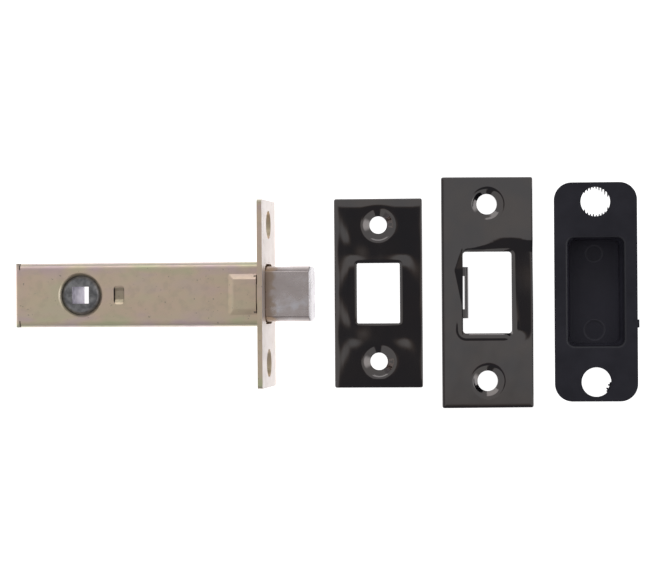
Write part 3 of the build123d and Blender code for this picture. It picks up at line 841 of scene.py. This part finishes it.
def ragged_nibs():
    teeth = []
    for degrees_round, length, width in nibs:
        outwards = Vector((cos(radians(degrees_round)), sin(radians(degrees_round))))
        teeth.append((outwards * box_hole, -outwards, length, width))
    return teeth


forend_plate()
strike_plate()
flash("flash_upper_hole", box_hole_y, comb_teeth())
flash("flash_lower_hole", -box_hole_y, ragged_nibs())


# Studio: a glowing floor in a white tent, dark round the camera and bright low on the right
floor_half = 2.0
floor_gap = 0.0002
floor_glow = 0.9
floor_tones = ((0.3, (0.78, 0.78, 0.78)), (0.7, (0.8, 0.8, 0.8)))
tent_tones = ((0.0, (0.22, 0.215, 0.235)), (0.5, (0.42, 0.36, 0.33)), (1.0, (1, 1, 1)))
tent_glow = 0.5
low_glow = 1.7
band_inner = 0.10
band_outer = 0.19
band_flare = 0.10
band_end_inner = 0.05
band_end_outer = 0.13
zone_low = radians(24)
zone_aside = radians(13)
zone_towards = Vector((sin(zone_aside), -sin(zone_low), cos(zone_aside) * cos(zone_low))).normalized()
zone_inner = cos(radians(16))
zone_outer = cos(radians(22))
glow_towards = Vector((cos(radians(10)), 0, sin(radians(10))))
glow_inner = cos(radians(12))
glow_outer = cos(radians(34))
key_at = Vector((-0.15, 1.0, 0.75))
key_aim = Vector((0, 0, 0.01))
key_width = 1.2
key_height = 0.5
key_radiance = 0.97


def floor():
    mesh = bpy.data.meshes.new("floor")
    sides = ((-1, -1), (1, -1), (1, 1), (-1, 1))
    mesh.from_pydata([(x * floor_half, y * floor_half, -floor_gap) for x, y in sides], [], [(0, 1, 2, 3)])
    ground = bpy.data.objects.new("floor", mesh)
    bpy.context.collection.objects.link(ground)
    glow = {"Emission_Color": (1, 1, 1, 1), "Emission_Strength": floor_glow}
    material, tree, surface = new_surface("floor", Roughness=0.9, **glow)
    cloud = noise(tree, millimetres(tree), size=300.0)
    tree.links.new(ramp(tree, cloud, floor_tones), surface.inputs["Base Color"])
    mesh.materials.append(material)


def tent():
    world = bpy.data.worlds.new("tent")
    world.use_nodes = True
    tree = world.node_tree
    direction = add(tree, "ShaderNodeTexCoord").outputs["Generated"]
    parts = add(tree, "ShaderNodeSeparateXYZ", {0: direction}).outputs
    flare = maths(tree, "MULTIPLY", maths(tree, "SUBTRACT", 1.0, parts["Z"]), band_flare)
    from_band = maths(tree, "SUBTRACT", maths(tree, "ABSOLUTE", parts["X"]), flare)
    beside_band = spread(tree, from_band, (band_inner, band_outer))
    beyond_band = spread(tree, parts["Y"], (band_end_inner, band_end_outer))
    beside_zone = spread(tree, dot(tree, direction, zone_towards), (zone_outer, zone_inner), fading)
    lit = maths(tree, "MINIMUM", maths(tree, "MAXIMUM", beside_band, beyond_band), beside_zone)
    towards_glow = dot(tree, direction, glow_towards)
    strength = spread(tree, towards_glow, (glow_outer, glow_inner), (tent_glow, low_glow))
    background = tree.nodes["Background"]
    tree.links.new(ramp(tree, lit, tent_tones), background.inputs["Color"])
    tree.links.new(strength, background.inputs["Strength"])
    bpy.context.scene.world = world


def back_key():
    light = bpy.data.lights.new("back_key", "AREA")
    light.shape = "RECTANGLE"
    light.size = key_width
    light.size_y = key_height
    light.energy = key_radiance * pi * key_width * key_height
    lamp = bpy.data.objects.new("back_key", light)
    lamp.location = key_at
    lamp.rotation_euler = (key_aim - key_at).to_track_quat("-Z", "Y").to_euler()
    bpy.context.collection.objects.link(lamp)


floor()
tent()
back_key()
bpy.context.scene.view_settings.view_transform = "Standard"

# Camera above the set and a little to the right, as in the photograph
camera_at = Vector((0.054, 0.00137, 0.7))
camera_aim = Vector((0.00133, 0.0, 0.0))
camera_roll = radians(-0.384)
focal_length = 122.4
sensor_width = 36.0
lens = bpy.data.cameras.new("camera")
lens.lens = focal_length
lens.sensor_width = sensor_width
camera = bpy.data.objects.new("camera", lens)
backwards = (camera_at - camera_aim).normalized()
rightwards = Vector((0, 1, 0)).cross(backwards).normalized()
upwards = backwards.cross(rightwards)
looking = Matrix((rightwards, upwards, backwards)).transposed() @ Matrix.Rotation(camera_roll, 3, "Z")
camera.matrix_world = Matrix.Translation(camera_at) @ looking.to_4x4()
bpy.context.collection.objects.link(camera)
bpy.context.scene.camera = camera
